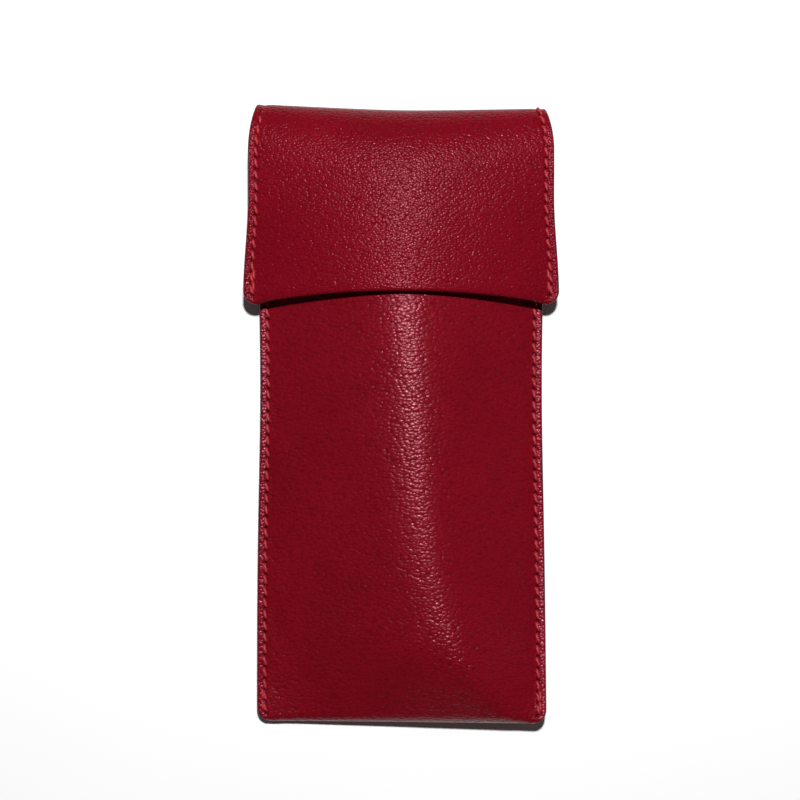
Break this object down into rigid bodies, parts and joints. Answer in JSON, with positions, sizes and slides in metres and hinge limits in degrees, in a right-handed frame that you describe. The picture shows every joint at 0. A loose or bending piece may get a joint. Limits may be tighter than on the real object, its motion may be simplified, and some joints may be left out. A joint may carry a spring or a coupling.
{
  "type": "soft pouch glasses case",
  "caption": "Slim padded leather pouch for a pair of glasses, sewn up both sides, open at one end under a fold-over flap with a hidden magnetic closure.",
  "frame": {"origin": "centre of the footprint, on the surface that the case lies on", "axes": "+X across the case to the right of its front, +Y along its length towards the flap's fold, +Z out of the front, with the case lying on its back"},
  "size_m": [0.0864, 0.1708, 0.0201],
  "materials": {
    "leather": "fine-grained red leather, semi-gloss",
    "binding": "thin skived leather binding, semi-gloss",
    "thread": "waxed polyester sewing thread",
    "lining": "short-napped microfibre, matt",
    "padding": "felted wadding, matt",
    "board": "flexible fibre board, matt",
    "magnet": "nickel-plated disc"
  },
  "bodies": {
    "pouch": {"body_leather": "leather", "front_padding": "padding", "back_padding": "padding", "body_lining": "lining", "mouth_binding": "binding", "body_magnet": "magnet", "left_seam_stitches": "thread", "right_seam_stitches": "thread", "mouth_stitches": "thread", "body_backtacks": "thread", "tail_leather": "leather", "tail_facing": "leather", "tail_stitches": "thread"},
    "flap_bridge": {"bridge_leather": "leather", "bridge_facing": "leather", "bridge_stitches": "thread"},
    "flap_front": {"flap_leather": "leather", "flap_board": "board", "flap_magnet": "magnet", "flap_left_stitches": "thread", "flap_right_stitches": "thread", "flap_backtacks": "thread"}
  },
  "joints": [
    {"name": "flap_fold_back", "type": "hinge", "parent": "pouch", "child": "flap_bridge", "pos_m": [0, 0.08195, 0.00205], "axis": [-1, 0, 0], "range_deg": [0, 65]},
    {"name": "flap_fold_front", "type": "hinge", "parent": "flap_bridge", "child": "flap_front", "pos_m": [0, 0.0853, 0.0096], "axis": [-1, 0, 0], "range_deg": [0, 65]}
  ],
  "couplings": [
    {"joint": "flap_fold_front", "follows": "flap_fold_back", "ratio": 1}
  ]
}
